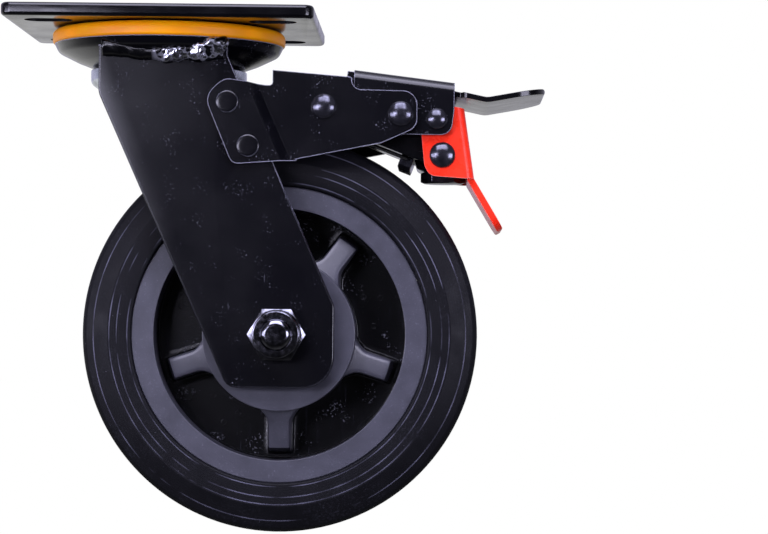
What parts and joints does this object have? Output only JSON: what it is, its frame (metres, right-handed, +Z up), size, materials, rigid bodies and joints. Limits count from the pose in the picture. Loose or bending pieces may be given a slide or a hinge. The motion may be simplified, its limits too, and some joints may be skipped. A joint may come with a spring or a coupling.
{
  "type": "swivel castor",
  "caption": "Plate-mounted swivel castor with a rubber-tyred wheel in a steel fork, a foot brake and a red release lever.",
  "frame": {"origin": "centre of the top plate's top face, on the swivel axis", "axes": "+X is the trail direction, towards the axle and the pedal at rest; +Z is up, out of the top plate; Y is along the axle"},
  "size_m": [0.2028, 0.102, 0.197],
  "materials": {
    "black_gloss_paint": "glossy black powder coat",
    "black_satin_paint": "satin black paint with fine scuffs",
    "red_paint": "glossy red-orange paint",
    "black_plated_steel": "dark bright-plated steel",
    "zinc_plate": "bright zinc plate",
    "bearing_steel": "polished steel",
    "orange_plastic": "moulded orange plastic",
    "core_plastic": "moulded dark grey plastic",
    "rubber": "moulded black rubber"
  },
  "bodies": {
    "mounting": {"top_plate": "black_gloss_paint", "kingpin": "zinc_plate", "lower_race_cap": "zinc_plate", "kingpin_nut": "zinc_plate"},
    "fork": {"swivel_crown": "black_gloss_paint", "upper_balls": "bearing_steel", "lower_balls": "bearing_steel", "dust_ring": "orange_plastic", "near_fork_leg": "black_satin_paint", "far_fork_leg": "black_satin_paint", "near_weld_bead": "black_gloss_paint", "far_weld_bead": "black_gloss_paint", "axle_bolt": "black_plated_steel", "axle_nut": "black_plated_steel", "axle_sleeve": "zinc_plate", "thrust_washers": "zinc_plate", "brake_housing": "black_satin_paint", "ear_rivets": "black_satin_paint", "arm_pin": "black_plated_steel", "pedal_pin": "black_plated_steel", "arm_spacers": "zinc_plate"},
    "wheel": {"wheel_rollers": "bearing_steel", "roller_cage": "zinc_plate", "wheel_core": "core_plastic", "tyre": "rubber"},
    "pedal": {"pedal_channel": "black_satin_paint", "foot_plate": "black_gloss_paint", "foot_rivets": "black_plated_steel", "lever_rivets": "black_plated_steel"},
    "release_lever": {"release_lever": "red_paint", "link_rivets": "black_plated_steel"},
    "brake_arm": {"brake_arm": "black_satin_paint", "brake_shoe": "black_satin_paint", "adjuster_bolt": "black_plated_steel", "adjuster_nut": "black_plated_steel", "arm_spring": "zinc_plate"}
  },
  "joints": [
    {"name": "swivel", "type": "hinge", "parent": "mounting", "child": "fork", "pos_m": [0, 0, 0], "axis": [0, 0, 1], "continuous": true},
    {"name": "wheel_spin", "type": "hinge", "parent": "fork", "child": "wheel", "pos_m": [0.045, 0, -0.122], "axis": [0, 1, 0], "continuous": true},
    {"name": "pedal_press", "type": "hinge", "parent": "fork", "child": "pedal", "pos_m": [0.0903, 0, -0.0386], "axis": [0, 1, 0], "range_deg": [0, 14.5], "stiffness_Nm_per_rad": 0.6, "springref_deg": -34.38},
    {"name": "lever_swing", "type": "hinge", "parent": "pedal", "child": "release_lever", "pos_m": [0.1039, 0, -0.0402], "axis": [0, 1, 0], "range_deg": [-11.6, 0]},
    {"name": "arm_swing", "type": "hinge", "parent": "fork", "child": "brake_arm", "pos_m": [0.0614, 0, -0.0362], "axis": [0, 1, 0], "range_deg": [0, 4.5]}
  ],
  "couplings": [
    {"joint": "lever_swing", "follows": "pedal_press", "ratio": -0.8},
    {"joint": "arm_swing", "follows": "pedal_press", "ratio": 0.31}
  ]
}
